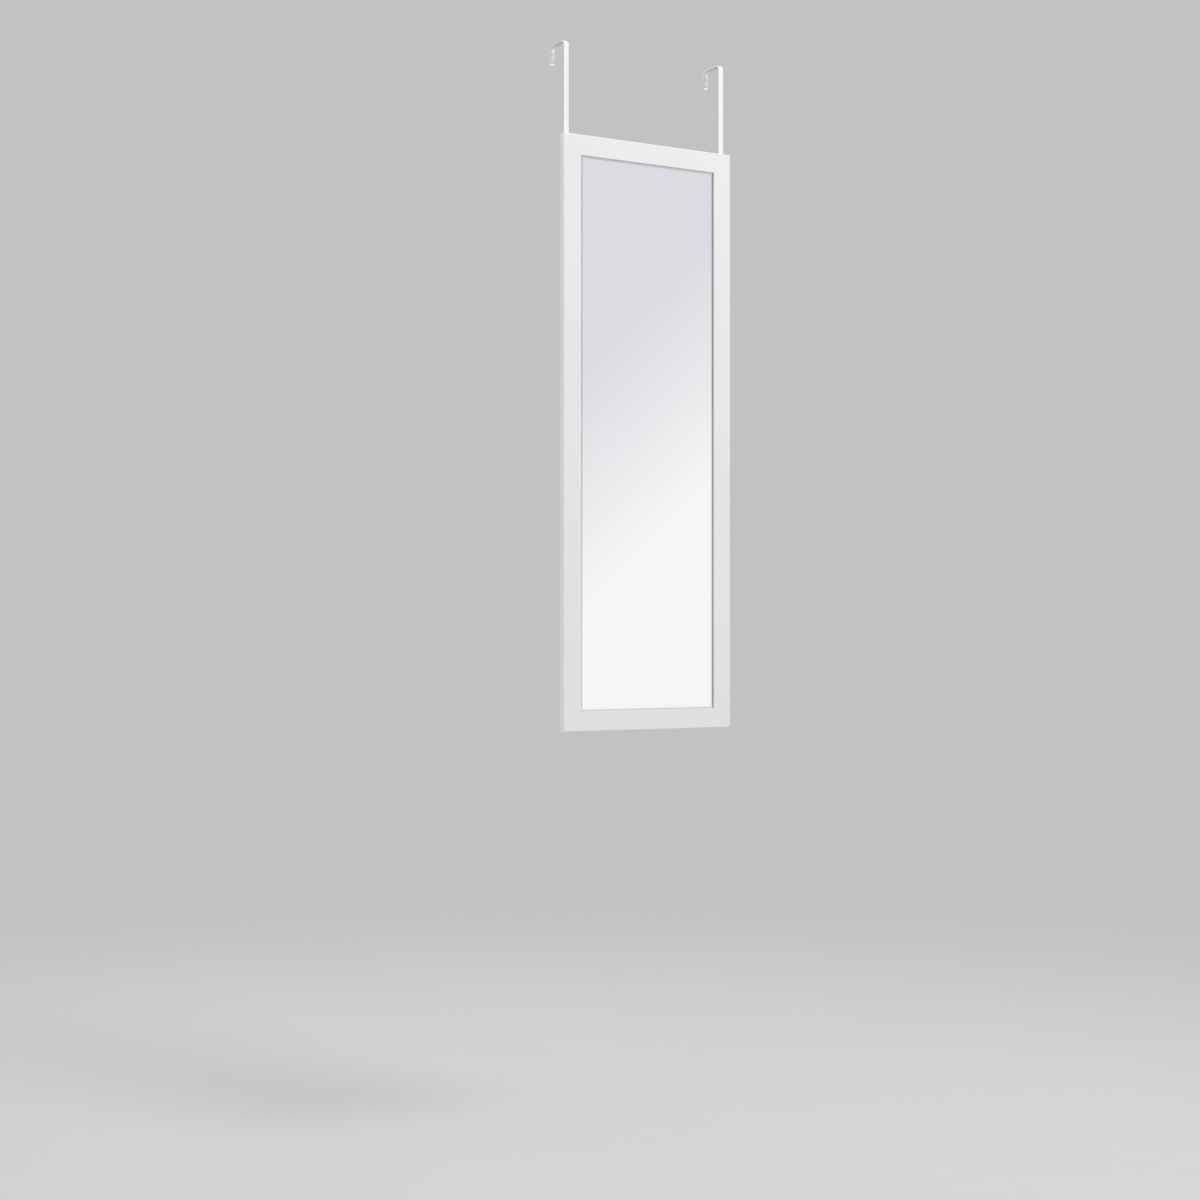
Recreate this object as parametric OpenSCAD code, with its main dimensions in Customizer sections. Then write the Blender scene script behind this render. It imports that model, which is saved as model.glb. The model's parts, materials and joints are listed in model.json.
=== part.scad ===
// Hanging dressing mirror with a flat mitred frame and two hooked straps.
// The straps hook over the top edge of an upright panel.
// Origin: the middle of that panel's top front edge.
// X runs along the panel to the viewer's right, Y into the panel, Z up.

/* [Frame] */
// Overall width of the frame
frame_w = 360; // [240:5:600]
// Overall height of the frame
frame_h = 1070; // [600:10:1600]
// Thickness of the moulding, front to back
frame_t = 12; // [11:0.5:20]
// Width of the moulding's face
rail_w = 37; // [31:1:60]
// Radius of the moulding's outer front edge
outer_r = 2; // [0.5:0.25:4]
// Radius of the moulding's inner front edge
inner_r = 0.8; // [0.3:0.1:1.5]
// Radius of the moulding's outer back edge
back_r = 0.8; // [0.3:0.1:2]
// Depth of the lip that stands in front of the glass
lip_t = 3; // [2:0.25:4]
// Width of the rebate behind the lip
rebate_w = 7; // [5:0.5:10]

/* [Glass and backing] */
// Thickness of the mirror glass
glass_t = 3; // [2:0.5:4]
// Thickness of the safety film on the back of the glass
film_t = 0.2; // [0.1:0.05:0.4]
// Thickness of the foam sheet behind the glass
foam_t = 1; // [0.5:0.25:2]
// Thickness of the backing board
board_t = 2.5; // [2:0.25:3.5]
// Gap between the glass or the board and the rebate's wall
pane_gap = 1; // [0.5:0.25:2]

/* [Board points] */
// Thickness of a steel point
point_t = 0.6; // [0.4:0.1:1]
// Width of a steel point
point_w = 8; // [5:0.5:12]
// Length of a point that shows over the board
point_reach = 9; // [5:0.5:14]
// Length of a point that is driven into the moulding
point_sunk = 6; // [4:0.5:9]
// Number of points on each stile
points_per_stile = 4; // [2:1:8]
// Number of points on each rail
points_per_rail = 2; // [1:1:4]

/* [Corner nails] */
// Length of a leg of the V-shaped corner nail
nail_leg = 5.5; // [4:0.5:7]
// Thickness of the nail's steel
nail_t = 0.8; // [0.5:0.1:1.2]
// Depth to which the nail is driven
nail_l = 7; // [5:0.5:9]
// Distance of the outer nail from the moulding's outer edge
nail_first = 9; // [8:0.5:10]
// Distance between the two nails of a corner
nail_pitch = 12; // [8:0.5:14]

/* [Hanger straps] */
// Width of a strap
strap_w = 10; // [8:0.5:16]
// Thickness of a strap
strap_t = 1.5; // [1:0.1:2]
// Distance of a strap's middle from the frame's side
strap_inset = 13; // [11:0.5:20]
// Height of the panel's top above the frame's top edge
strap_drop = 166; // [60:1:300]
// Greatest thickness of the panel that the hook takes
hook_gap = 45; // [30:1:60]
// Length of the hook's rear lip below the panel's top
hook_lip = 32; // [22:1:60]
// Inner radius of the bend at the panel's front edge
front_bend_r = 9; // [3:0.5:9]
// Inner radius of the bend at the panel's back edge
rear_bend_r = 6; // [2:0.5:6]
// Thickness of the felt pads in the hook
pad_t = 2; // [1:0.25:4]
// Margin between a pad and the strap's long edges
pad_margin = 0.5; // [0.25:0.25:2]
// Length of the pad under the seat
seat_pad_l = 28; // [10:1:30]
// Length of the pad in the rear lip
lip_pad_l = 18; // [8:1:20]
// Distance by which a strap slides up or down from rest
strap_travel = 20; // [5:1:40]

/* [Strap screws] */
// Diameter of a screw's shank
screw_d = 3.5; // [3:0.25:4.5]
// Diameter of a screw's head
head_d = 8; // [7:0.25:9.5]
// Height of a screw's head
head_h = 2.2; // [1.8:0.1:2.4]
// Depth to which a screw enters the stile
screw_grip = 8; // [6:0.5:9]
// Distance between the two screws of a strap
screw_pitch = 50; // [30:1:80]
// Distance of the pair's middle below the frame's top edge
screw_drop = 78; // [72:1:140]
// Gap between the shank and the slot's edge
slot_gap = 0.35; // [0.3:0.05:0.6]
// Length of strap below the slot
strap_tail = 8; // [4:0.5:20]
// Running gap on each face of a strap
slide_gap = 0.1; // [0.05:0.05:0.3]

/* [Bumpers] */
// Height of a rubber bumper, and the frame's distance from the panel
bumper_t = 5; // [4.5:0.25:10]
// Diameter of a rubber bumper
bumper_d = 12; // [8:0.5:16]
// Radius of a bumper's outer edge
bumper_r = 1.2; // [0.5:0.1:2]
// Distance of a bumper's middle from the frame's side
bumper_inset = 50; // [40:1:100]

/* [Hidden] */
$fn = 64;
// Length by which a cutter passes the face that it opens
over = 1;

// Planes from the panel's face forwards
frame_back_y = -bumper_t;
frame_front_y = frame_back_y - frame_t;
strap_front_y = frame_back_y + slide_gap;
strap_back_y = strap_front_y + strap_t;
head_under_y = strap_back_y + slide_gap;

// Heights
frame_top_z = -strap_drop;
frame_bottom_z = frame_top_z - frame_h;
screw_mid_z = frame_top_z - screw_drop;

// The stack in the rebate, as depths behind the moulding's front
film_d = lip_t + glass_t;
foam_d = film_d + film_t;
board_d = foam_d + foam_t;
point_d = board_d + board_t;
solid_w = rail_w - rebate_w;
pane_inset = solid_w + pane_gap;

// The strap and its hook
strap_x = frame_w / 2 - strap_inset;
seat_z = pad_t;
strap_top_z = seat_z + strap_t;
lip_front_y = hook_gap + pad_t;
lip_back_y = lip_front_y + strap_t;
seat_mid_y = (strap_back_y + front_bend_r + lip_front_y - rear_bend_r) / 2;
pad_w = strap_w - 2 * pad_margin;
lip_pad_mid_z = (seat_z - rear_bend_r - hook_lip) / 2;
slot_r = screw_d / 2 + slot_gap;
slot_l = screw_pitch + 2 * strap_travel;
strap_bottom_z = screw_mid_z - slot_l / 2 - slot_r - strap_tail;

// The recess in a screw's head
recess_l = 0.55 * head_d;
recess_w = 0.13 * head_d;
recess_depth = 0.6 * head_h;
screw_tip = 0.8 * screw_d;

// Section of the moulding: x from the outer edge inwards, y from the front backwards
module moulding_section() {
    difference() {
        union() {
            translate([outer_r, 0])
                square([rail_w - outer_r - inner_r, frame_t - back_r]);
            translate([0, outer_r])
                square([rail_w / 2, frame_t - outer_r - back_r]);
            translate([rail_w / 2, inner_r])
                square([rail_w / 2, frame_t - inner_r]);
            translate([back_r, outer_r])
                square([rail_w - back_r, frame_t - outer_r]);
            translate([outer_r, outer_r])
                circle(r = outer_r);
            translate([rail_w - inner_r, inner_r])
                circle(r = inner_r);
            translate([back_r, frame_t - back_r])
                circle(r = back_r);
        }
        translate([solid_w, lip_t])
            square([rebate_w + over, frame_t]);
    }
}

// One length of moulding, mitred at both ends: x along it, y inwards, z backwards
module moulding(length) {
    intersection() {
        rotate([90, 0, 90])
            linear_extrude(length)
                moulding_section();
        translate([0, 0, -over])
            linear_extrude(frame_t + 2 * over)
                polygon([[0, 0], [length, 0], [length - rail_w, rail_w], [rail_w, rail_w]]);
    }
}

// Places for the four lengths of moulding, each with its outer edge outwards
module on_top_rail() {
    translate([-frame_w / 2, frame_front_y, frame_top_z])
        rotate([-90, 0, 0])
            children();
}

module on_bottom_rail() {
    translate([frame_w / 2, frame_front_y, frame_bottom_z])
        rotate([0, 180, 0])
            rotate([-90, 0, 0])
                children();
}

module on_left_stile() {
    translate([-frame_w / 2, frame_front_y, frame_bottom_z])
        rotate([0, -90, 0])
            rotate([-90, 0, 0])
                children();
}

module on_right_stile() {
    translate([frame_w / 2, frame_front_y, frame_top_z])
        rotate([0, 90, 0])
            rotate([-90, 0, 0])
                children();
}

// A steel point with its sharp end driven outwards, at the wall of the rebate
module board_point() {
    linear_extrude(point_t)
        polygon([
            [-point_w / 2, point_reach],
            [-point_w / 2, -point_sunk / 2],
            [0, -point_sunk],
            [point_w / 2, -point_sunk / 2],
            [point_w / 2, point_reach]
        ]);
}

// The points along one length of moulding, evenly spaced
module point_row(length, count) {
    for (i = [1 : count])
        translate([length * (i - 0.5) / count, solid_w, point_d])
            board_point();
}

// The V nails at both ends of one length of moulding, one leg in each member
module nail_pair(length) {
    for (end = [0, 1])
        for (i = [0, 1])
            translate([end * length, 0, 0])
                mirror([end, 0, 0])
                    v_nail(nail_first + i * nail_pitch);
}

module v_nail(inset) {
    translate([inset + nail_t / 2, inset + nail_t / 2, frame_t - nail_l])
        mirror([1, 1, 0])
            linear_extrude(nail_l)
                union() {
                    square([nail_t, nail_leg]);
                    square([nail_leg, nail_t]);
                }
}

// Pan-head screw along Z, its head's underside at z = 0 and its point downwards
module pan_screw(reach) {
    difference() {
        rotate_extrude()
            union() {
                square([head_d / 2, head_h / 2]);
                square([head_d / 2 - head_h / 2, head_h]);
                translate([head_d / 2 - head_h / 2, head_h / 2])
                    circle_quarter(head_h / 2);
            }
        for (turn = [0, 90])
            rotate([0, 0, turn])
                translate([-recess_l / 2, -recess_w / 2, head_h - recess_depth])
                    cube([recess_l, recess_w, head_h]);
    }
    translate([0, 0, -reach + screw_tip])
        cylinder(r = screw_d / 2, h = reach - screw_tip);
    translate([0, 0, -reach])
        cylinder(r1 = 0, r2 = screw_d / 2, h = screw_tip);
}

// A quarter of a disc, in the quadrant where x and y are positive
module circle_quarter(radius) {
    intersection() {
        circle(r = radius);
        square(radius + over);
    }
}

// Both screws of the strap at this side, driven forwards into the stile
module strap_screws(side) {
    for (step = [-0.5, 0.5])
        translate([side * strap_x, head_under_y, screw_mid_z + step * screw_pitch])
            rotate([-90, 0, 0])
                pan_screw(head_under_y - frame_back_y + screw_grip);
}

// Side view of an arch: x from y0 to y1, closed at z_top with round corners, open below.
// Its bends are thicker than the hook's inner radii by this much.
module arch_section(y0, y1, z_top, z_low, thickness) {
    front_r = front_bend_r + thickness;
    rear_r = rear_bend_r + thickness;
    middle = (y0 + y1) / 2;
    translate([y0, z_low])
        square([middle - y0, z_top - front_r - z_low]);
    translate([middle, z_low])
        square([y1 - middle, z_top - rear_r - z_low]);
    translate([y0 + front_r, z_low])
        square([y1 - y0 - front_r - rear_r, z_top - z_low]);
    translate([y0 + front_r, z_top - front_r])
        circle(r = front_r);
    translate([y1 - rear_r, z_top - rear_r])
        circle(r = rear_r);
}

// The hook's two bends, seat and lip, with the first stretch of the front leg
module hook(width) {
    rotate([90, 0, 90])
        translate([0, 0, -width / 2])
            linear_extrude(width)
                difference() {
                    arch_section(strap_front_y, lip_back_y, strap_top_z, -hook_lip + width / 2, strap_t);
                    arch_section(strap_back_y, lip_front_y, seat_z, -hook_lip, 0);
                }
}

// A flat leg with a round lower end, from z_top down to z_low
module leg(width, z_top, z_low) {
    rotate([-90, 0, 0])
        linear_extrude(strap_t)
            union() {
                translate([-width / 2, -z_top])
                    square([width, z_top - z_low - width / 2]);
                translate([0, -z_low - width / 2])
                    circle(r = width / 2);
            }
}

// One strap, in the middle of the panel until it is moved to its side
module hanger_strap() {
    difference() {
        union() {
            hook(strap_w);
            translate([0, lip_front_y, 0])
                leg(strap_w, -rear_bend_r, -hook_lip);
            translate([0, strap_front_y, 0])
                leg(strap_w, -front_bend_r, strap_bottom_z);
        }
        translate([0, strap_front_y - over, screw_mid_z])
            rotate([-90, 0, 0])
                linear_extrude(strap_t + 2 * over)
                    union() {
                        square([2 * slot_r, slot_l], center = true);
                        for (end = [-1, 1])
                            translate([0, end * slot_l / 2])
                                circle(r = slot_r);
                    }
    }
}

// Felt under the hook's seat, with its face on the panel's top
module seat_pad() {
    translate([-pad_w / 2, seat_mid_y - seat_pad_l / 2, 0])
        cube([pad_w, seat_pad_l, pad_t]);
}

// Felt on the inside of the hook's rear lip
module lip_pad() {
    translate([-pad_w / 2, hook_gap, lip_pad_mid_z - lip_pad_l / 2])
        cube([pad_w, pad_t, lip_pad_l]);
}

// A sheet that lies in the rebate, its front at this depth behind the moulding's front
module pane(depth, thickness) {
    translate([-frame_w / 2 + pane_inset, frame_front_y + depth, frame_bottom_z + pane_inset])
        cube([frame_w - 2 * pane_inset, thickness, frame_h - 2 * pane_inset]);
}

// Two rubber feet at this height on the back of the frame
module bumper_pair(height) {
    for (side = [-1, 1])
        translate([side * (frame_w / 2 - bumper_inset), frame_back_y, height])
            rotate([-90, 0, 0])
                rotate_extrude()
                    union() {
                        square([bumper_d / 2, bumper_t - bumper_r]);
                        square([bumper_d / 2 - bumper_r, bumper_t]);
                        translate([bumper_d / 2 - bumper_r, bumper_t - bumper_r])
                            circle_quarter(bumper_r);
                    }
}

module frame_rail_blank() {
    difference() {
        moulding(frame_w);
        point_row(frame_w, points_per_rail);
        nail_pair(frame_w);
    }
}

module frame_stile_blank() {
    difference() {
        moulding(frame_h);
        point_row(frame_h, points_per_stile);
        nail_pair(frame_h);
    }
}

module frame_top_rail() {
    color("whitesmoke")
        on_top_rail()
            frame_rail_blank();
}

module frame_bottom_rail() {
    color("whitesmoke")
        on_bottom_rail()
            frame_rail_blank();
}

module frame_left_stile() {
    color("whitesmoke")
        difference() {
            on_left_stile()
                frame_stile_blank();
            strap_screws(-1);
        }
}

module frame_right_stile() {
    color("whitesmoke")
        difference() {
            on_right_stile()
                frame_stile_blank();
            strap_screws(1);
        }
}

module mirror_glass() {
    color("lavender")
        pane(lip_t, glass_t);
}

module safety_film() {
    color("lightsteelblue")
        pane(film_d, film_t);
}

module foam_sheet() {
    color("white")
        pane(foam_d, foam_t);
}

module backing_board() {
    color("peru")
        pane(board_d, board_t);
}

module board_points() {
    color("silver") {
        on_top_rail()
            point_row(frame_w, points_per_rail);
        on_bottom_rail()
            point_row(frame_w, points_per_rail);
        on_left_stile()
            point_row(frame_h, points_per_stile);
        on_right_stile()
            point_row(frame_h, points_per_stile);
    }
}

module corner_v_nails() {
    color("gray") {
        on_top_rail()
            nail_pair(frame_w);
        on_bottom_rail()
            nail_pair(frame_w);
    }
}

module left_hanger_strap() {
    color("white")
        translate([-strap_x, 0, 0])
            hanger_strap();
}

module right_hanger_strap() {
    color("white")
        translate([strap_x, 0, 0])
            hanger_strap();
}

module left_strap_screws() {
    color("silver")
        strap_screws(-1);
}

module right_strap_screws() {
    color("silver")
        strap_screws(1);
}

module left_seat_pad() {
    color("gainsboro")
        translate([-strap_x, 0, 0])
            seat_pad();
}

module right_seat_pad() {
    color("gainsboro")
        translate([strap_x, 0, 0])
            seat_pad();
}

module left_lip_pad() {
    color("gainsboro")
        translate([-strap_x, 0, 0])
            lip_pad();
}

module right_lip_pad() {
    color("gainsboro")
        translate([strap_x, 0, 0])
            lip_pad();
}

module upper_bumpers() {
    color("darkgray")
        bumper_pair(frame_top_z - solid_w / 2);
}

module lower_bumpers() {
    color("darkgray")
        bumper_pair(frame_bottom_z + solid_w / 2);
}

frame_top_rail();
frame_bottom_rail();
frame_left_stile();
frame_right_stile();
mirror_glass();
safety_film();
foam_sheet();
backing_board();
board_points();
corner_v_nails();
left_hanger_strap();
right_hanger_strap();
left_strap_screws();
right_strap_screws();
left_seat_pad();
right_seat_pad();
left_lip_pad();
right_lip_pad();
upper_bumpers();
lower_bumpers();
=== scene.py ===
"""Looks for a slim white-framed dressing mirror that hangs on two hooked straps."""

import json
import math

import bmesh
import bpy
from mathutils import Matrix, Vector, noise


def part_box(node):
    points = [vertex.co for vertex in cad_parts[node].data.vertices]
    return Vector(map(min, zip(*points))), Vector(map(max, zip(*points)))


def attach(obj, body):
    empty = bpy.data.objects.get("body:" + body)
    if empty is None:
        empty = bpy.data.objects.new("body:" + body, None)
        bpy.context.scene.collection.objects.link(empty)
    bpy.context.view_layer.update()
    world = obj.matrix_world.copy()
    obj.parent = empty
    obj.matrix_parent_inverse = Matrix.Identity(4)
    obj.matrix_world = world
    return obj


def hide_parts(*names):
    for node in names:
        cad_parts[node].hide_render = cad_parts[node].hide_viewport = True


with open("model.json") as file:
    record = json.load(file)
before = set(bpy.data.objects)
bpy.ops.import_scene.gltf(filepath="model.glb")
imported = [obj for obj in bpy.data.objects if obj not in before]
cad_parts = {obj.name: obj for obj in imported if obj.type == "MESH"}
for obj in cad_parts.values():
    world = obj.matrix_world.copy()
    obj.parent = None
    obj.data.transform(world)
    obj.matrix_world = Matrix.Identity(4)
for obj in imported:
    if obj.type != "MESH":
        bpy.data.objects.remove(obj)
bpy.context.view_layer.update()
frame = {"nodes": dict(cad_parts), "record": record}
nodes = frame["nodes"]

# Each node's body, from the record
BODY_OF = {}
for body, members in frame["record"]["behaviour"]["bodies"].items():
    BODY_OF.update(dict.fromkeys(members, body))

MM = 0.001

# The object's main faces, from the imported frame
frame_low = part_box("frame_left_stile")[0]
frame_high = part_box("frame_right_stile")[1]
HALF_WIDTH = frame_high.x
HALF_HEIGHT = (frame_high.z - frame_low.z) / 2
MID_HEIGHT = (frame_high.z + frame_low.z) / 2
BACK_Y = frame_high.y
FACE_WIDTH = frame_high.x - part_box("frame_right_stile")[0].x
GLASS_FRONT_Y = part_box("mirror_glass")[0].y
GLASS_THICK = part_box("mirror_glass")[1].y - GLASS_FRONT_Y

# Width of the rebate behind the frame's lip
REBATE_WIDTH = 7.0 * MM

# Radii of the CAD nodes' softened edges
WOOD_EDGE = 0.12 * MM
BOARD_EDGE = 0.3 * MM
NAIL_EDGE = 0.08 * MM
STRAP_EDGE = 0.4 * MM

# An edge is sharp above one angle, a face is flat below the other, and closer points are one
SHARP_DEG = 40.0
FLAT_DEG = 0.5
SAME_PLACE = 1e-6

# The strap screws
HEAD_HEIGHT = 2.2 * MM
SHANK_RADIUS = 1.75 * MM
PLAIN_SHANK = 2.0 * MM
POINT_LENGTH = 1.6 * SHANK_RADIUS
POINT_BLUNT = 0.1 * MM
THREAD_PITCH = 1.3 * MM
THREAD_CORE = 0.70 * SHANK_RADIUS
RIDGE_SHARE = 0.42
RINGS_PER_PITCH = 8

# Camera, matched to the four corners of the frame in the photograph
PHOTO_WIDTH_PX = 1200
LENS_PX = 2104.2
HORIZON_PX = 626.0
SENSOR_MM = 36.0
CAMERA_AT = (-2.0534, -3.2665, -1.0466)
CAMERA_YAW_DEG = 30.957

# The floor that the panel would stand on, and how far out it fades away
FLOOR_Z = -2.03
FLOOR_RADIUS = 6.0
FLOOR_FADE_FROM = 0.9
FLOOR_FADE_TO = 4.2

# Studio light
AMBIENT = 0.75
AMBIENT_TILT = 0.20
OVERHEAD = 1.9
BACKDROP = (193, 194, 196)
SWEEP_AXIS = (0.586, 0.365, -0.724)
LAMP_AIM = (0, 0, -0.7)


def srgb(red, green, blue):
    """A colour given as 0 to 255 values, as the linear colour that shaders take."""
    linear = []
    for value in (red, green, blue):
        share = value / 255
        linear.append(share / 12.92 if share <= 0.04045 else ((share + 0.055) / 1.055) ** 2.4)
    return (*linear, 1.0)


# ---------------------------------------------------------------- node helpers

class Tree:
    """Short calls for building one material's or world's nodes."""

    def __init__(self, owner):
        owner.use_nodes = True
        self.nodes = owner.node_tree.nodes
        self.links = owner.node_tree.links

    def add(self, kind, inputs=None, **settings):
        """A new node, with its settings made and its inputs linked or set."""
        node = self.nodes.new(kind)
        for name, value in settings.items():
            setattr(node, name, value)
        for name, value in (inputs or {}).items():
            self.put(node, name, value)
        return node

    def put(self, node, name, value):
        """Links an output to one of a node's inputs, or sets the input to a constant."""
        socket = node.inputs[name]
        if isinstance(value, bpy.types.NodeSocket):
            self.links.new(value, socket)
        else:
            socket.default_value = value

    def math(self, operation, a, b=0.0):
        return self.add("ShaderNodeMath", {0: a, 1: b}, operation=operation).outputs[0]

    def vector(self, operation, a, b=(0.0, 0.0, 0.0)):
        node = self.add("ShaderNodeVectorMath", {0: a, 1: b}, operation=operation)
        return node.outputs["Value" if operation in ("DOT_PRODUCT", "LENGTH") else "Vector"]

    def step(self, value, low, high, to_low=0.0, to_high=1.0, smooth=True):
        """Value mapped from low..high to to_low..to_high, held at both ends and eased if smooth."""
        kind = "SMOOTHSTEP" if smooth else "LINEAR"
        inputs = {"Value": value, "From Min": low, "From Max": high, "To Min": to_low, "To Max": to_high}
        node = self.add("ShaderNodeMapRange", inputs, interpolation_type=kind, clamp=True)
        return node.outputs["Result"]

    def position(self):
        return self.add("ShaderNodeTexCoord").outputs["Object"]

    def stretched(self, scale):
        """The position scaled axis by axis; a share below 1 draws a texture out along that axis."""
        return self.vector("MULTIPLY", self.position(), scale)

    def axes(self, vector):
        """The vector's parts, as outputs named X, Y and Z."""
        return self.add("ShaderNodeSeparateXYZ", {0: vector}).outputs

    def noise(self, scale, detail=3.0, rough=0.5, vector=None, distortion=0.0):
        inputs = {
            "Vector": vector or self.position(),
            "Scale": scale,
            "Detail": detail,
            "Roughness": rough,
            "Distortion": distortion,
        }
        return self.add("ShaderNodeTexNoise", inputs).outputs["Fac"]

    def between(self, factor, a, b):
        """A number that goes from a to b with the factor."""
        return self.add("ShaderNodeMix", {0: factor, 2: a, 3: b}).outputs[0]

    def mix(self, factor, a, b, blend="MIX"):
        """A colour that goes from a to b with the factor."""
        node = self.add("ShaderNodeMix", data_type="RGBA", blend_type=blend)
        self.put(node, 0, factor)
        self.put(node, 6, a)
        self.put(node, 7, b)
        return node.outputs[2]

    def shaded(self, colour, factor):
        """The colour multiplied by a grey factor."""
        grey = self.add("ShaderNodeCombineColor", {0: factor, 1: factor, 2: factor}).outputs[0]
        return self.mix(1.0, colour, grey, blend="MULTIPLY")

    def ramp(self, value, stops):
        """A colour from stops, each a place from 0 to 1 and the colour there."""
        node = self.add("ShaderNodeValToRGB", {"Fac": value})
        elements = node.color_ramp.elements
        while len(elements) < len(stops):
            elements.new(0.5)
        for element, (place, colour) in zip(elements, stops):
            element.position = place
            element.color = colour
        return node.outputs["Color"]

    def bump(self, height, distance, strength, under=None):
        """A normal that follows a height, on top of another normal if one is given."""
        inputs = {"Height": height, "Distance": distance, "Strength": strength}
        if under is not None:
            inputs["Normal"] = under
        return self.add("ShaderNodeBump", inputs).outputs["Normal"]


def new_material(name, **sockets):
    """A material, its tree and its principled shader, with the shader's own sockets set."""
    material = bpy.data.materials.new(name)
    tree = Tree(material)
    shader = tree.nodes["Principled BSDF"]
    for socket, value in sockets.items():
        shader.inputs[socket.replace("_", " ").title().replace("Ior", "IOR")].default_value = value
    return material, tree, shader


# ---------------------------------------------------------------- materials

def edge_distance(tree):
    """The place, and the metres to the frame's outer edge: sideways, up or down, and the nearer."""
    place = tree.axes(tree.position())
    sideways = tree.math("SUBTRACT", HALF_WIDTH, tree.math("ABSOLUTE", place["X"]))
    off_middle = tree.math("ABSOLUTE", tree.math("SUBTRACT", place["Z"], MID_HEIGHT))
    upright = tree.math("SUBTRACT", HALF_HEIGHT, off_middle)
    return place, sideways, upright, tree.math("MINIMUM", sideways, upright)


def make_moulding():
    """White satin foil over fibreboard, which stays bare on the back and in the rebate.

    The foil laps a little way round to the back, with an edge that wanders, and has a faint
    line at each mitre.
    """
    mitre_tone = 0.94
    mitre_core = 0.05 * MM
    mitre_reach = 0.30 * MM
    foil_lap = 6.4 * MM
    lap_wander = 0.9 * MM
    seam = 0.2 * MM
    rebate_wall = FACE_WIDTH - REBATE_WIDTH

    material, tree, shader = new_material("white_foil_moulding", specular_ior_level=0.5)
    place, sideways, upright, inward = edge_distance(tree)

    cloud = tree.noise(9.0, detail=2.0)
    foil = tree.mix(cloud, srgb(228, 228, 228), srgb(232, 232, 232))
    off_mitre = tree.math("ABSOLUTE", tree.math("SUBTRACT", sideways, upright))
    hairline = tree.step(off_mitre, mitre_core, mitre_reach, mitre_tone, 1.0)
    past_corner = tree.step(inward, FACE_WIDTH, FACE_WIDTH + seam)
    foil = tree.shaded(foil, tree.math("MAXIMUM", hairline, past_corner))

    fibre = tree.noise(2600.0, detail=4.0, rough=0.7, vector=tree.stretched((1.0, 1.0, 0.7)))
    board = tree.ramp(fibre, [
        (0.28, srgb(166, 138, 104)),
        (0.45, srgb(192, 166, 130)),
        (0.60, srgb(203, 178, 143)),
        (0.78, srgb(216, 194, 161)),
    ])
    blotch = tree.step(tree.noise(26.0), 0.3, 0.7, 0.0, 0.35)
    board = tree.mix(blotch, board, srgb(183, 155, 119))

    lap = tree.math("ADD", inward, tree.math("MULTIPLY", tree.noise(140.0), lap_wander))
    past_lap = tree.step(lap, foil_lap, foil_lap + seam)
    at_back = tree.step(place["Y"], BACK_Y - WOOD_EDGE, BACK_Y - WOOD_EDGE / 2)
    in_rebate = tree.step(inward, rebate_wall - 2 * seam, rebate_wall - seam)
    behind_lip = tree.step(place["Y"], GLASS_FRONT_Y - WOOD_EDGE, GLASS_FRONT_Y - WOOD_EDGE / 3)
    bare_back = tree.math("MULTIPLY", past_lap, at_back)
    bare_rebate = tree.math("MULTIPLY", in_rebate, behind_lip)
    bare = tree.math("MAXIMUM", bare_back, bare_rebate)

    tree.put(shader, "Base Color", tree.mix(bare, foil, board))
    satin = tree.step(tree.noise(38.0), 0.3, 0.7, 0.36, 0.44, smooth=False)
    tree.put(shader, "Roughness", tree.between(bare, satin, 0.88))
    peel = tree.bump(tree.noise(620.0, detail=2.0), 0.012 * MM, 0.35)
    tree.put(shader, "Normal", tree.bump(tree.math("MULTIPLY", fibre, bare), 0.10 * MM, 0.8, under=peel))
    return material


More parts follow.
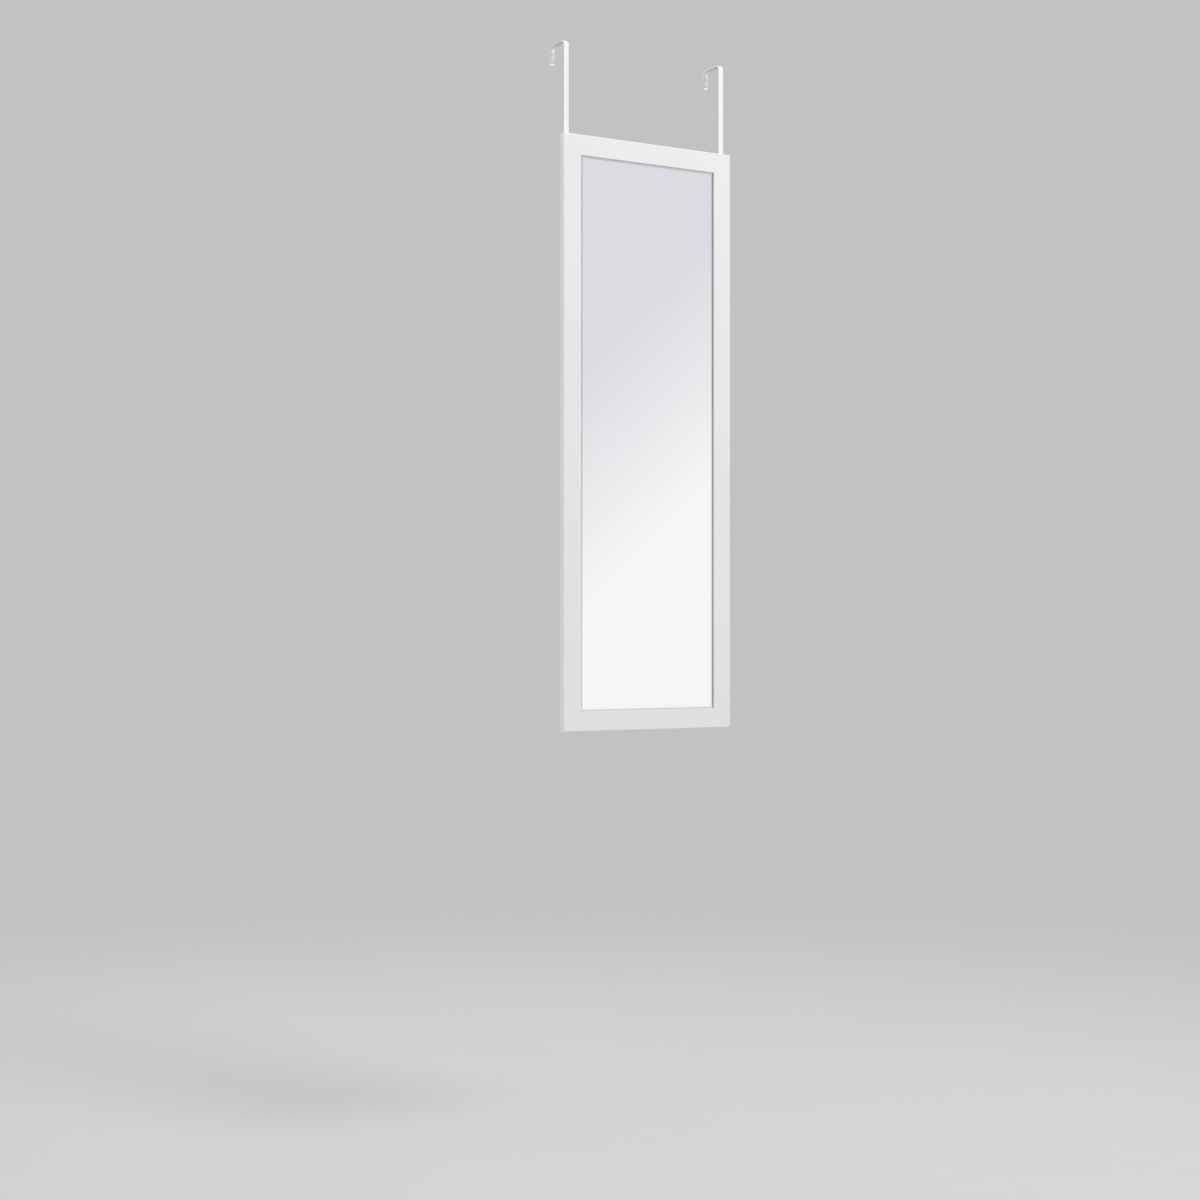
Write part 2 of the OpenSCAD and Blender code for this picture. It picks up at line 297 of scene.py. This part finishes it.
def make_mirror():
    """Float glass silvered behind, with a thin line of painted shade where it meets the frame.

    The painted shade line is narrower along the bottom and darkest at the sides, and a fainter
    painted shade reaches further in. The cut edges are greenish and the back has grey paint.
    """
    # Painted shade next to the frame: a dark line along its inner edge, darkest at the sides, and a
    # faint shade further in
    shade_line_width = 2.6 * MM
    bottom_shade_line_width = 1.0 * MM
    shade_line_fade = 1.7 * MM
    side_shade_tone = 0.58
    bottom_shade_tone = 0.65
    top_shade_tone = 0.76
    # A faint painted shade that reaches further in from the frame
    shade_from = 2.0 * MM
    shade_to = 11.0 * MM
    shade_tone = 0.97
    # Heights from the frame's middle: the visible glass's lower edge and the painted shade line's
    # widening
    low_sight = FACE_WIDTH - HALF_HEIGHT
    widening_from = low_sight + 3 * MM
    widening_to = low_sight + 6 * MM
    # Depths behind the glass's front
    face_depth = 0.05 * MM
    paint_depth = GLASS_THICK - 0.2 * MM
    depth_fade = 0.1 * MM

    material, tree, shader = new_material("silvered_glass", metallic=1.0, specular_ior_level=0.5)
    place, sideways, upright, inward = edge_distance(tree)
    from_sight = tree.math("SUBTRACT", inward, FACE_WIDTH)
    height = tree.math("SUBTRACT", place["Z"], MID_HEIGHT)
    # Painted shade: a dark line along the frame, narrower at the bottom, with one tone for the sides,
    # one for the top and one for the bottom
    reach = tree.step(height, widening_from, widening_to, bottom_shade_line_width, shade_line_width)
    shade_tone_by_height = tree.step(height, -HALF_HEIGHT, HALF_HEIGHT, bottom_shade_tone, top_shade_tone, smooth=False)
    beside = tree.math("LESS_THAN", sideways, upright)
    darkest_painted_shade = tree.step(beside, 0.0, 1.0, shade_tone_by_height, side_shade_tone, smooth=False)
    line = tree.step(from_sight, reach, tree.math("ADD", reach, shade_line_fade), darkest_painted_shade, 1.0)
    # The faint painted shade further in from the frame
    shade = tree.step(from_sight, shade_from, shade_to, shade_tone, 1.0)
    silver = tree.mix(tree.noise(2.2, detail=1.0), (0.966, 0.966, 0.972, 1), (0.976, 0.976, 0.978, 1))
    front = tree.shaded(silver, tree.math("MULTIPLY", line, shade))

    paint = tree.mix(tree.noise(70.0, detail=4.0), srgb(134, 139, 143), srgb(147, 151, 154))
    depth = tree.math("SUBTRACT", place["Y"], GLASS_FRONT_Y)
    behind = tree.step(depth, paint_depth, paint_depth + depth_fade)
    past_face = tree.step(depth, face_depth, face_depth + depth_fade)
    edge = tree.mix(behind, srgb(116, 150, 138), paint)
    tree.put(shader, "Base Color", tree.mix(past_face, front, edge))
    haze = tree.step(tree.noise(55.0, detail=4.0), 0.55, 0.8, 0.006, 0.016)
    tree.put(shader, "Roughness", tree.between(past_face, haze, 0.45))
    wave = tree.noise(3.2, detail=0.0, vector=tree.stretched((1.0, 1.0, 0.6)))
    tree.put(shader, "Normal", tree.bump(wave, 0.6 * MM, 0.12))
    return material


def make_powder_coat():
    """Glossy white powder coat on steel strip, with its fine orange peel."""
    material, tree, shader = new_material(
        "white_powder_coat", specular_ior_level=0.5, coat_weight=0.25, coat_roughness=0.12)
    tint = tree.mix(tree.noise(20.0, detail=2.0), srgb(234, 234, 234), srgb(238, 238, 237))
    tree.put(shader, "Base Color", tint)
    tree.put(shader, "Roughness", tree.step(tree.noise(60.0), 0.3, 0.7, 0.26, 0.32, smooth=False))
    peel = tree.noise(420.0, detail=1.0)
    tree.put(shader, "Normal", tree.bump(peel, 0.006 * MM, 0.5))
    return material


def make_zinc():
    """Zinc-plated steel with a faint mottle and fine drawing marks."""
    material, tree, shader = new_material("bright_zinc", metallic=1.0)
    mottle = tree.noise(120.0, detail=4.0, rough=0.6)
    tree.put(shader, "Base Color", tree.mix(mottle, srgb(186, 189, 193), srgb(214, 216, 219)))
    marks = tree.noise(900.0, vector=tree.stretched((0.12, 1.0, 1.0)))
    tree.put(shader, "Roughness", tree.step(marks, 0.25, 0.75, 0.24, 0.42, smooth=False))
    tree.put(shader, "Normal", tree.bump(marks, 0.01 * MM, 0.5))
    return material


def make_hardboard():
    """Brown hardboard with loose dark fibres and the faint print of the press screen."""
    screen_pitch = 1.5 * MM
    screen_share = 0.35

    material, tree, shader = new_material("brown_hardboard", specular_ior_level=0.35)
    fibres = tree.noise(900.0, detail=5.0, rough=0.75, vector=tree.stretched((0.5, 1.0, 1.0)))
    flakes = tree.noise(260.0, rough=0.6, distortion=1.2)
    warp = tree.noise(6.0, detail=2.0)
    base = tree.ramp(fibres, [
        (0.28, srgb(106, 76, 50)),
        (0.45, srgb(139, 104, 72)),
        (0.60, srgb(156, 119, 84)),
        (0.78, srgb(181, 145, 108)),
    ])
    base = tree.mix(tree.step(flakes, 0.58, 0.72, 0.0, 0.42), base, srgb(112, 80, 53))
    base = tree.mix(tree.step(warp, 0.3, 0.7, 0.0, 0.28), base, srgb(163, 127, 91))
    tree.put(shader, "Base Color", base)
    tree.put(shader, "Roughness", tree.step(fibres, 0.3, 0.7, 0.52, 0.68, smooth=False))

    place = tree.axes(tree.position())
    waves = []
    for axis in ("X", "Z"):
        turn = tree.math("MULTIPLY", place[axis], 2 * math.pi / screen_pitch)
        waves.append(tree.math("SINE", turn))
    weave = tree.math("MULTIPLY", waves[0], waves[1])
    height = tree.math("ADD", tree.math("MULTIPLY", weave, screen_share), fibres)
    tree.put(shader, "Normal", tree.bump(height, 0.06 * MM, 0.6))
    return material


def make_felt():
    """Off-white wool felt, with fibres that catch the light."""
    material, tree, shader = new_material(
        "off_white_felt", specular_ior_level=0.2, sheen_weight=0.30, sheen_roughness=0.6)
    fibres = tree.noise(2600.0, detail=5.0, rough=0.75, distortion=1.5)
    tufts = tree.noise(420.0)
    tone = tree.ramp(fibres, [
        (0.30, srgb(188, 187, 183)),
        (0.52, srgb(210, 209, 205)),
        (0.75, srgb(229, 228, 225)),
    ])
    tone = tree.mix(tree.step(tufts, 0.35, 0.65, 0.0, 0.3), tone, srgb(199, 198, 193))
    tree.put(shader, "Base Color", tone)
    tree.put(shader, "Roughness", tree.step(fibres, 0.2, 0.8, 0.88, 0.98))
    tree.put(shader, "Normal", tree.bump(tree.math("ADD", fibres, tufts), 0.10 * MM, 0.7))
    return material


def make_rubber():
    """Pale grey moulded rubber."""
    material, tree, shader = new_material("grey_rubber", specular_ior_level=0.4)
    bloom = tree.noise(90.0, detail=4.0)
    tree.put(shader, "Base Color", tree.mix(bloom, srgb(186, 187, 186), srgb(201, 202, 201)))
    tree.put(shader, "Roughness", tree.step(bloom, 0.3, 0.7, 0.5, 0.68, smooth=False))
    tree.put(shader, "Normal", tree.bump(tree.noise(1400.0, detail=2.0), 0.02 * MM, 0.6))
    return material


def make_foam():
    """White closed-cell foam."""
    material, tree, shader = new_material("white_foam", specular_ior_level=0.3)
    pattern = tree.add("ShaderNodeTexVoronoi", {"Vector": tree.position(), "Scale": 1300.0})
    cells = pattern.outputs["Distance"]
    tone = tree.mix(tree.step(cells, 0.1, 0.6), srgb(214, 217, 220), srgb(236, 238, 240))
    tree.put(shader, "Base Color", tone)
    tree.put(shader, "Roughness", tree.step(cells, 0.0, 0.8, 0.7, 0.85))
    tree.put(shader, "Normal", tree.bump(cells, 0.1 * MM, 0.6))
    return material


def make_film():
    """Clear bluish safety film with a light haze."""
    material, tree, shader = new_material("safety_film", specular_ior_level=0.5, coat_weight=0.4)
    haze = tree.noise(40.0)
    tree.put(shader, "Base Color", tree.mix(haze, srgb(176, 192, 208), srgb(192, 205, 217)))
    tree.put(shader, "Roughness", tree.step(haze, 0.3, 0.7, 0.12, 0.25))
    return material


# ---------------------------------------------------------------- CAD nodes

def soften(node, radius, steps):
    """Welds a CAD node's facets into whole faces and rounds its sharp edges a little."""
    weld = node.modifiers.new("weld", "WELD")
    weld.merge_threshold = SAME_PLACE
    faces = node.modifiers.new("whole_faces", "DECIMATE")
    faces.decimate_type = "DISSOLVE"
    faces.angle_limit = math.radians(FLAT_DEG)
    bevel = node.modifiers.new("soft_edges", "BEVEL")
    bevel.width = radius
    bevel.segments = steps
    bevel.limit_method = "ANGLE"
    bevel.angle_limit = math.radians(SHARP_DEG)
    bevel.use_clamp_overlap = False
    bevel.loop_slide = False
    shading = node.modifiers.new("even_shading", "WEIGHTED_NORMAL")
    shading.keep_sharp = True


def dress(name, material, radius=0.0, steps=2):
    """Gives a CAD node its material and, if asked, softened edges."""
    node = nodes[name]
    node.data.materials.clear()
    node.data.materials.append(material)
    if radius:
        soften(node, radius, steps)


# ---------------------------------------------------------------- mesh-built pieces

def object_from(shape, name):
    """Turns a finished shape into an object in the scene."""
    mesh = bpy.data.meshes.new(name)
    shape.to_mesh(mesh)
    shape.free()
    made = bpy.data.objects.new(name, mesh)
    bpy.context.scene.collection.objects.link(made)
    return made


def new_piece(name, shape, material, node, smooth_deg):
    """Turns a finished shape into a piece that stands for a CAD node and moves with its body.

    Its edges are shaded smooth up to the angle smooth_deg.
    """
    bmesh.ops.recalc_face_normals(shape, faces=shape.faces)
    piece = object_from(shape, name)
    piece.data.materials.append(material)
    piece.data.shade_smooth()
    piece.data.set_sharp_from_angle(angle=math.radians(smooth_deg))
    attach(piece, BODY_OF[node])
    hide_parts(node)
    return piece


def grid_box(low, high, cell):
    """A closed box whose faces are divided into cells of about this size."""
    shape = bmesh.new()
    bmesh.ops.create_cube(shape, size=1.0)
    size = high - low
    middle = (high + low) / 2
    for vertex in shape.verts:
        vertex.co = Vector(c * s + m for c, s, m in zip(vertex.co, size, middle))
    for axis in range(3):
        along = [e for e in shape.edges if abs((e.verts[0].co - e.verts[1].co)[axis]) > size[axis] / 2]
        cuts = max(1, round(size[axis] / cell[axis])) - 1
        if cuts:
            bmesh.ops.subdivide_edges(shape, edges=along, cuts=cuts, use_grid_fill=True)
    return shape


def fibre_sag(place, nap, wander):
    """How far a soft skin lies inside its box here: a fine nap and a slow wander."""
    grain = 1.1 * MM
    swell = 5.0 * MM
    falloff = 1.0
    lacunarity = 2.0
    octaves = 3
    rough = 0.5 + 0.5 * noise.fractal(place / grain, falloff, lacunarity, octaves)
    slow = 0.5 + 0.5 * noise.noise(place / swell)
    return nap * min(max(rough, 0.0), 1.0) + wander * slow


def soft_slab(low, high, cell, radius, nap, wander, bonded):
    """A slab of felt or foam: rounded edges, a slightly uneven nap and cut edges that wander.

    The face that looks along bonded is glued down, so it stays flat.
    """
    # A place faces a direction when the cosine between them is above this
    squarely = 0.7
    shape = grid_box(low, high, cell)
    inner_low = low + Vector((radius,) * 3)
    inner_high = high - Vector((radius,) * 3)
    for vertex in shape.verts:
        core = Vector(min(max(c, a), b) for c, a, b in zip(vertex.co, inner_low, inner_high))
        outward = (vertex.co - core).normalized()
        place = core + outward * radius
        facing = outward.dot(bonded)
        if facing < squarely:
            cut_edge = facing >= -squarely
            place -= outward * fibre_sag(place, nap, wander if cut_edge else 0.0)
        vertex.co = place
    return shape


def join_loops(shape, loops):
    """Faces between each closed loop of points and the next."""
    count = len(loops[0])
    for near, far in zip(loops, loops[1:]):
        for index in range(count):
            after = (index + 1) % count
            shape.faces.new((near[index], near[after], far[after], far[index]))


def ring_of(shape, centre, radii, along):
    """One ring of points about the Y axis through centre, one radius for each point."""
    ring = []
    for index, radius in enumerate(radii):
        turn = 2 * math.pi * index / len(radii)
        offset = Vector((radius * math.cos(turn), along, radius * math.sin(turn)))
        ring.append(shape.verts.new(centre + offset))
    return ring


def turned(shape, centre, profile, count=48):
    """A closed solid turned about the Y axis through centre.

    A profile entry is (radius, place along Y), and the radius may be a function of the turn
    from 0 to 1. Both ends are closed by a point.
    """
    first = shape.verts.new(centre + Vector((0, profile[0][1], 0)))
    last = shape.verts.new(centre + Vector((0, profile[-1][1], 0)))
    rings = []
    for radius, along in profile[1:-1]:
        radii = [radius(index / count) if callable(radius) else radius for index in range(count)]
        rings.append(ring_of(shape, centre, radii, along))
    join_loops(shape, rings)
    for pole, ring in ((first, rings[0]), (last, rings[-1])):
        for index in range(count):
            shape.faces.new((pole, ring[index], ring[(index + 1) % count]))


def arc(across, along, radius, start_deg, end_deg, steps):
    """Points on a round about (across, along), from start to end; 0 degrees points across, 90 along."""
    points = []
    for step in range(steps + 1):
        angle = math.radians(start_deg + (end_deg - start_deg) * step / steps)
        points.append((across + radius * math.cos(angle), along + radius * math.sin(angle)))
    return points


def islands(node):
    """The boxes of a CAD node's separate solids, as (low, high), sorted by height and then by side."""
    shape = bmesh.new()
    shape.from_mesh(nodes[node].data)
    bmesh.ops.remove_doubles(shape, verts=shape.verts, dist=SAME_PLACE)
    boxes = []
    waiting = set(shape.verts)
    while waiting:
        seed = waiting.pop()
        group = [seed]
        queue = [seed]
        while queue:
            for edge in queue.pop().link_edges:
                for vertex in edge.verts:
                    if vertex in waiting:
                        waiting.remove(vertex)
                        group.append(vertex)
                        queue.append(vertex)
        low_corner = Vector(min(v.co[axis] for v in group) for axis in range(3))
        high_corner = Vector(max(v.co[axis] for v in group) for axis in range(3))
        boxes.append((low_corner, high_corner))
    shape.free()
    return sorted(boxes, key=lambda box: (round(box[0].z, 4), round(box[0].x, 4)))


def make_pad(name, node, bonded, material):
    """A felt pad with a rounded, fibrous outside."""
    low_corner, high_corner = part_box(node)
    shape = soft_slab(
        low_corner, high_corner, cell=(0.45 * MM,) * 3,
        radius=0.55 * MM, nap=0.10 * MM, wander=0.22 * MM, bonded=Vector(bonded))
    piece = new_piece(name, shape, material, node, smooth_deg=80.0)


def make_foam_sheet(material):
    """The thin foam between the glass and the board, with edges cut by hand."""
    low_corner, high_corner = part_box("foam_sheet")
    shape = soft_slab(
        low_corner, high_corner, cell=(6 * MM, 0.34 * MM, 6 * MM),
        radius=0.3 * MM, nap=0.0, wander=0.5 * MM, bonded=Vector((0, -1, 0)))
    piece = new_piece("foam_cushion", shape, material, "foam_sheet", smooth_deg=60.0)


def foot_profile(radius, height):
    """Half of a rubber foot's section, from its glued base to its face."""
    flange = 0.8 * MM
    flange_edge = 0.3 * MM
    shoulder = (radius - 0.15 * MM, 1.0 * MM)
    draft = 0.25 * MM
    rim = 1.2 * MM
    lip = 0.4 * MM
    lip_radius = 2.9 * MM
    dish_slope = (1.6 * MM, height - 0.42 * MM)
    dish_radius = 0.6 * MM
    dish_floor = height - 0.5 * MM
    profile = [(0, 0), (radius - flange_edge, 0), (radius, flange_edge), (radius, flange), shoulder]
    profile += arc(radius - draft - rim, height - rim, rim, 0, 90, 8)
    profile += arc(lip_radius, height - lip, lip, 90, 150, 4)
    profile += [dish_slope, (dish_radius, dish_floor), (0, dish_floor)]
    return profile


def make_feet(name, node, material):
    """Round rubber feet: a slight draft, a soft rim and a shallow dish in the face."""
    shape = bmesh.new()
    for low_corner, high_corner in islands(node):
        middle = (low_corner + high_corner) / 2
        base = Vector((middle.x, low_corner.y, middle.z))
        radius = (high_corner.x - low_corner.x) / 2
        turned(shape, base, foot_profile(radius, high_corner.y - low_corner.y))
    new_piece(name, shape, material, node, smooth_deg=35.0)


def board_point(shape, low_corner, high_corner):
    """A flat steel point: a sharp end in the wood, round corners over the board and a pressed middle."""
    corner = 1.3 * MM
    shoulder = 3.0 * MM
    press_centre = 3.0 * MM
    press_rise = 0.28 * MM
    edge_break = 0.1 * MM
    size = high_corner - low_corner
    middle = (high_corner + low_corner) / 2
    if size.x > size.z:
        inward = Vector((-math.copysign(1, middle.x), 0, 0))
    else:
        inward = Vector((0, 0, -math.copysign(1, middle.z - MID_HEIGHT)))
    across = Vector((inward.z, 0, -inward.x))
    length = max(size.x, size.z)
    half_width = min(size.x, size.z) / 2
    outline = [(0, -length / 2), (half_width, -length / 2 + shoulder)]
    outline += arc(half_width - corner, length / 2 - corner, corner, 0, 90, 5)
    outline += [(-side, place) for side, place in reversed(outline[1:])]
    # Each level's share of the width, share of the length and height over the board
    levels = [
        (1.0, 1.0, 0.0),
        (1.0, 1.0, size.y - edge_break),
        (0.97, 0.985, size.y),
        (0.62, 0.44, size.y),
        (0.50, 0.36, size.y + press_rise),
    ]
    loops = []
    for wide, long, rise in levels:
        loop = []
        for side, place in outline:
            along = press_centre + (place - press_centre) * long
            spot = middle + across * side * wide + inward * along
            loop.append(shape.verts.new((spot.x, low_corner.y + rise, spot.z)))
        loops.append(loop)
    join_loops(shape, loops)
    shape.faces.new(loops[0])
    shape.faces.new(loops[-1])


def make_board_points(material):
    """The steel points all round the rebate."""
    shape = bmesh.new()
    for low_corner, high_corner in islands("board_points"):
        board_point(shape, low_corner, high_corner)
    new_piece("pressed_points", shape, material, "board_points", smooth_deg=25.0)


def thread_radius(along, reach):
    """A screw's radius as a function of the turn from 0 to 1, at one place along its thread."""
    rise = min(1.0, (along + reach) / THREAD_PITCH, (-PLAIN_SHANK - along) / THREAD_PITCH)
    taper = min(1.0, (along + reach) / POINT_LENGTH)

    def radius(turn):
        phase = (along / THREAD_PITCH - turn) % 1.0
        ridge = max(0.0, 1.0 - abs(2 * phase - 1) / RIDGE_SHARE)
        return (THREAD_CORE + (SHANK_RADIUS - THREAD_CORE) * ridge * max(0.0, rise)) * taper
    return radius


def screw_profile(head_radius, reach):
    """A pan-head screw from its point to the top of its head, whose underside is at 0."""
    tip = (0.12 * MM, -reach + POINT_BLUNT)
    neck = (0.92 * SHANK_RADIUS, -PLAIN_SHANK + 0.1 * MM)
    collar = (0.97 * SHANK_RADIUS, -0.05 * MM)
    underside = (head_radius - 0.25 * MM, 0)
    brim = (head_radius, 0.2 * MM)
    round_off = HEAD_HEIGHT / 2
    crown = (0.5 * head_radius, HEAD_HEIGHT - 0.02 * MM)
    thread_length = reach - PLAIN_SHANK - POINT_BLUNT
    rings = math.ceil(thread_length / (THREAD_PITCH / RINGS_PER_PITCH))
    profile = [(0, -reach), tip]
    for index in range(1, rings + 1):
        along = -reach + POINT_BLUNT + thread_length * index / rings
        profile.append((thread_radius(along, reach), along))
    profile += [neck, collar, underside, brim]
    profile += arc(head_radius - round_off, HEAD_HEIGHT - round_off, round_off, 0, 78, 7)
    profile += [crown, (0, HEAD_HEIGHT)]
    return profile


def cross_cutter(centre, along, length, width, depth):
    """One tapered bar of a cross recess, long in X or Z, that narrows towards its bottom."""
    shape = bmesh.new()
    corners = []
    # The bar's two ends: drop below the head's top, share of the length and share of the width
    for drop, long, wide in ((-0.4 * depth, 1.14, 1.14), (depth, 0.36, 0.62)):
        for side, end in ((-1, -1), (1, -1), (1, 1), (-1, 1)):
            offset = (end * length / 2 * long, side * width / 2 * wide)
            x, z = offset if along == "X" else offset[::-1]
            corners.append(shape.verts.new(centre + Vector((x, -drop, z))))
    top = corners[:4]
    bottom = corners[4:]
    shape.faces.new(top)
    shape.faces.new(bottom[::-1])
    join_loops(shape, [top, bottom])
    bmesh.ops.recalc_face_normals(shape, faces=shape.faces)
    return object_from(shape, "cutter")


def screw_mesh(head_base, head_radius, reach):
    """One pan-head screw with its head towards +Y, cut with a tapered cross recess."""
    cross_length = 1.1 * head_radius
    cross_width = 0.26 * head_radius
    cross_depth = 0.6 * HEAD_HEIGHT
    shape = bmesh.new()
    turned(shape, head_base, screw_profile(head_radius, reach), count=40)
    bmesh.ops.recalc_face_normals(shape, faces=shape.faces)
    screw = object_from(shape, "screw")
    top = head_base + Vector((0, HEAD_HEIGHT, 0))
    cutters = []
    for along in ("X", "Z"):
        cutter = cross_cutter(top, along, cross_length, cross_width, cross_depth)
        cut = screw.modifiers.new("recess", "BOOLEAN")
        cut.operation = "DIFFERENCE"
        cut.solver = "EXACT"
        cut.object = cutter
        cutters.append(cutter)
    bpy.context.view_layer.update()
    seen = screw.evaluated_get(bpy.context.evaluated_depsgraph_get())
    finished = bpy.data.meshes.new_from_object(seen)
    for helper in (screw, *cutters):
        used = helper.data
        bpy.data.objects.remove(helper)
        bpy.data.meshes.remove(used)
    return finished


def make_screws(name, node, material):
    """The two screws that clamp one strap."""
    sliver = 0.002 * MM
    shape = bmesh.new()
    for low_corner, high_corner in islands(node):
        middle = (low_corner + high_corner) / 2
        base = Vector((middle.x, high_corner.y - HEAD_HEIGHT, middle.z))
        single = screw_mesh(base, (high_corner.x - low_corner.x) / 2, base.y - low_corner.y)
        shape.from_mesh(single)
        bpy.data.meshes.remove(single)
    bmesh.ops.dissolve_degenerate(shape, dist=sliver, edges=shape.edges)
    new_piece(name, shape, material, node, smooth_deg=30.0)


# ---------------------------------------------------------------- dressing the nodes

moulding = make_moulding()
for member in ("frame_top_rail", "frame_bottom_rail", "frame_left_stile", "frame_right_stile"):
    dress(member, moulding, WOOD_EDGE)
dress("mirror_glass", make_mirror())
dress("safety_film", make_film())
dress("backing_board", make_hardboard(), BOARD_EDGE)
zinc = make_zinc()
dress("board_points", zinc)
make_board_points(zinc)
dress("corner_v_nails", zinc, NAIL_EDGE)
coat = make_powder_coat()
felt = make_felt()
for side in ("left", "right"):
    dress(side + "_hanger_strap", coat, STRAP_EDGE, steps=3)
    dress(side + "_strap_screws", zinc)
    make_screws(side + "_screw_pair", side + "_strap_screws", zinc)
    dress(side + "_seat_pad", felt)
    make_pad(side + "_seat_felt", side + "_seat_pad", (0, 0, 1), felt)
    dress(side + "_lip_pad", felt)
    make_pad(side + "_lip_felt", side + "_lip_pad", (0, 1, 0), felt)
foam = make_foam()
dress("foam_sheet", foam)
make_foam_sheet(foam)
rubber = make_rubber()
for level in ("upper", "lower"):
    dress(level + "_bumpers", rubber)
    make_feet(level + "_feet", level + "_bumpers", rubber)


# ---------------------------------------------------------------- stage

def make_floor():
    """A pale round floor that fades out into the background."""
    shape = bmesh.new()
    bmesh.ops.create_circle(shape, cap_ends=True, radius=FLOOR_RADIUS, segments=96)
    floor = object_from(shape, "floor")
    floor.location = (0, 0, FLOOR_Z)
    material, tree, shader = new_material("pale_floor", specular_ior_level=0.2)
    tone = tree.mix(tree.noise(3.0), srgb(203, 204, 205), srgb(206, 207, 208))
    tree.put(shader, "Base Color", tone)
    tree.put(shader, "Roughness", tree.step(tree.noise(18.0), 0.3, 0.7, 0.75, 0.85))
    reach = tree.vector("LENGTH", tree.position())
    fade = tree.step(reach, FLOOR_FADE_FROM, FLOOR_FADE_TO, 1.0, 0.0)
    tree.put(shader, "Alpha", fade)
    floor.data.materials.append(material)


def gloss_sweep(tree, towards):
    """The colours that gloss and the mirror see, by a direction's part along SWEEP_AXIS, -1 to 1.

    Two bright bands lie across it, a narrow one near -0.27 and a wide one from -0.02 to 0.08.
    """
    along = tree.vector("DOT_PRODUCT", towards, SWEEP_AXIS)
    stops = [
        (-0.90, srgb(186, 188, 194)),
        (-0.48, srgb(207, 208, 213)),
        (-0.375, srgb(217, 218, 223)),
        (-0.305, srgb(240, 240, 241)),
        (-0.245, srgb(244, 244, 244)),
        (-0.195, srgb(222, 223, 228)),
        (-0.105, srgb(222, 223, 228)),
        (-0.063, srgb(235, 236, 238)),
        (-0.021, srgb(250, 250, 250)),
        (0.08, srgb(248, 248, 248)),
        (0.26, srgb(205, 206, 208)),
        (0.95, srgb(196, 197, 199)),
    ]
    share = tree.step(along, -1.0, 1.0, smooth=False)
    return tree.ramp(share, [((place + 1) / 2, colour) for place, colour in stops])


def make_world():
    """Even light for matt surfaces, a plain backdrop for the eye, and for gloss a pale sweep.

    The light is a little stronger from above, and the sweep is brighter overhead.
    """
    world = bpy.data.worlds.new("studio")
    bpy.context.scene.world = world
    tree = Tree(world)
    tree.nodes.clear()
    towards = tree.add("ShaderNodeTexCoord").outputs["Generated"]
    height = tree.axes(towards)["Z"]
    overhead = tree.step(height, 0.45, 0.85, 1.0, OVERHEAD)
    from_below = (1 - AMBIENT_TILT) * AMBIENT
    from_above = (1 + AMBIENT_TILT) * AMBIENT
    lift = tree.step(height, -1.0, 1.0, from_below, from_above, smooth=False)

    def background(colour, strength):
        return tree.add("ShaderNodeBackground", {"Color": colour, "Strength": strength}).outputs[0]

    def choose(factor, first, second):
        return tree.add("ShaderNodeMixShader", {0: factor, 1: first, 2: second}).outputs[0]

    path = tree.add("ShaderNodeLightPath").outputs
    reflected = tree.math("MAXIMUM", path["Is Glossy Ray"], path["Is Transmission Ray"])
    light = background((1, 1, 1, 1), lift)
    unseen = choose(reflected, light, background(gloss_sweep(tree, towards), overhead))
    surface = choose(path["Is Camera Ray"], unseen, background(srgb(*BACKDROP), 1.0))
    tree.add("ShaderNodeOutputWorld", {"Surface": surface})


def make_lamp(name, place, size, power):
    """A soft square lamp, aimed at the frame's middle, that mirrors and gloss don't see."""
    data = bpy.data.lights.new(name, "AREA")
    data.shape = "SQUARE"
    data.size = size
    data.energy = power
    lamp = bpy.data.objects.new(name, data)
    lamp.location = place
    lamp.rotation_euler = (Vector(LAMP_AIM) - Vector(place)).to_track_quat("-Z", "Y").to_euler()
    lamp.visible_glossy = False
    bpy.context.scene.collection.objects.link(lamp)


def make_camera():
    """The photograph's viewpoint: level, with a small vertical shift."""
    data = bpy.data.cameras.new("camera")
    data.sensor_width = SENSOR_MM
    data.lens = LENS_PX / PHOTO_WIDTH_PX * SENSOR_MM
    data.shift_y = (HORIZON_PX - PHOTO_WIDTH_PX / 2) / PHOTO_WIDTH_PX
    data.clip_start = 0.05
    data.clip_end = 60.0
    camera = bpy.data.objects.new("camera", data)
    camera.location = CAMERA_AT
    camera.rotation_euler = (math.radians(90), 0, -math.radians(CAMERA_YAW_DEG))
    bpy.context.scene.collection.objects.link(camera)
    bpy.context.scene.camera = camera


make_floor()
make_world()
make_lamp("key", place=(0.9, -2.4, 1.7), size=0.9, power=44.0)
make_lamp("back_fill", place=(-0.9, 2.8, 0.9), size=1.5, power=14.0)
make_camera()

bpy.context.scene.view_settings.view_transform = "Standard"
bpy.context.view_layer.update()
